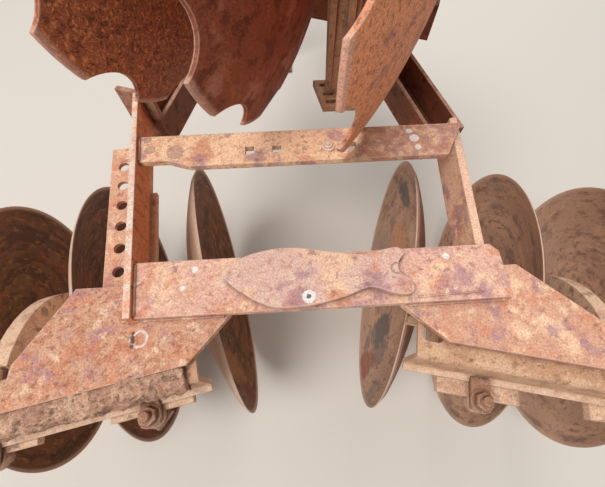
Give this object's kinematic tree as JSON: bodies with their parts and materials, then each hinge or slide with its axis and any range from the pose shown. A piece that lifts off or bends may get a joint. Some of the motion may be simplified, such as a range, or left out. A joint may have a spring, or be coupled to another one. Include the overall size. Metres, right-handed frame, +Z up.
{
  "type": "disc harrow",
  "caption": "Small towed disc harrow with plain rear discs in a V, a parking stand, and its notched front disc gang unbolted and laid on the frame.",
  "frame": {"origin": "centre of the towing bore, midway between the clevis ears", "axes": "+Z up along the towing bore, +Y forward in the direction of travel, +X to the right"},
  "size_m": [1.6272, 1.9884, 1.36],
  "materials": {
    "pale_frame": "faded orange-pink paint gone to light rust",
    "dark_frame": "dark red-brown rust over old paint",
    "soiled_beam": "rust with dried soil caked on it",
    "worn_disc": "soil-scoured steel with brown streaks",
    "rust_disc": "coarse orange-speckled dark rust",
    "casting": "weathered cast iron, grey-brown",
    "axle_steel": "rusted bar steel"
  },
  "bodies": {
    "root": {"rear_crossbar": "pale_frame", "fish_plate": "pale_frame", "front_crossbar": "pale_frame", "left_web": "dark_frame", "hole_strip": "pale_frame", "right_tube": "pale_frame", "left_gusset": "pale_frame", "right_gusset": "pale_frame", "left_arm": "dark_frame", "right_arm": "dark_frame", "front_gang_beam": "dark_frame", "tongue": "dark_frame", "clevis": "dark_frame", "stand_sleeve": "dark_frame", "left_gang_beam": "soiled_beam", "right_gang_beam": "soiled_beam", "left_hanger_1": "casting", "left_hanger_2": "casting", "right_hanger_1": "casting", "right_hanger_2": "casting", "left_bearing_1": "casting", "left_bearing_2": "casting", "right_bearing_1": "casting", "right_bearing_2": "casting", "front_discs": "rust_disc", "front_axle": "axle_steel", "front_spools": "casting"},
    "left_gang": {"left_axle": "axle_steel", "left_discs": "worn_disc", "left_spools": "casting"},
    "right_gang": {"right_axle": "axle_steel", "right_discs": "worn_disc", "right_spools": "casting"},
    "stand": {"stand_leg": "dark_frame", "stand_foot": "dark_frame"},
    "front_hanger_1_body": {"front_hanger_1": "casting", "front_bearing_1": "casting"},
    "front_hanger_2_body": {"front_hanger_2": "casting", "front_bearing_2": "casting"}
  },
  "joints": [
    {"name": "left_gang_spin", "type": "hinge", "parent": "root", "child": "left_gang", "pos_m": [-0.211, -1.516, -0.34], "axis": [0.9816, 0.1908, 0], "continuous": true},
    {"name": "right_gang_spin", "type": "hinge", "parent": "root", "child": "right_gang", "pos_m": [0.211, -1.524, -0.34], "axis": [0.9728, -0.2317, 0], "continuous": true},
    {"name": "stand_slide", "type": "slide", "parent": "root", "child": "stand", "axis": [0, 0, 1], "range_m": [0, 0.35]},
    {"name": "front_hanger_1_swing", "type": "hinge", "parent": "root", "child": "front_hanger_1_body", "pos_m": [0.08419, -1.2064, 0.36], "axis": [0.9361, -0.3518, 0], "range_deg": [-15, 15]},
    {"name": "front_hanger_2_swing", "type": "hinge", "parent": "root", "child": "front_hanger_2_body", "pos_m": [-0.09366, -1.13955, 0.36], "axis": [0.9361, -0.3518, 0], "range_deg": [-15, 15]}
  ]
}
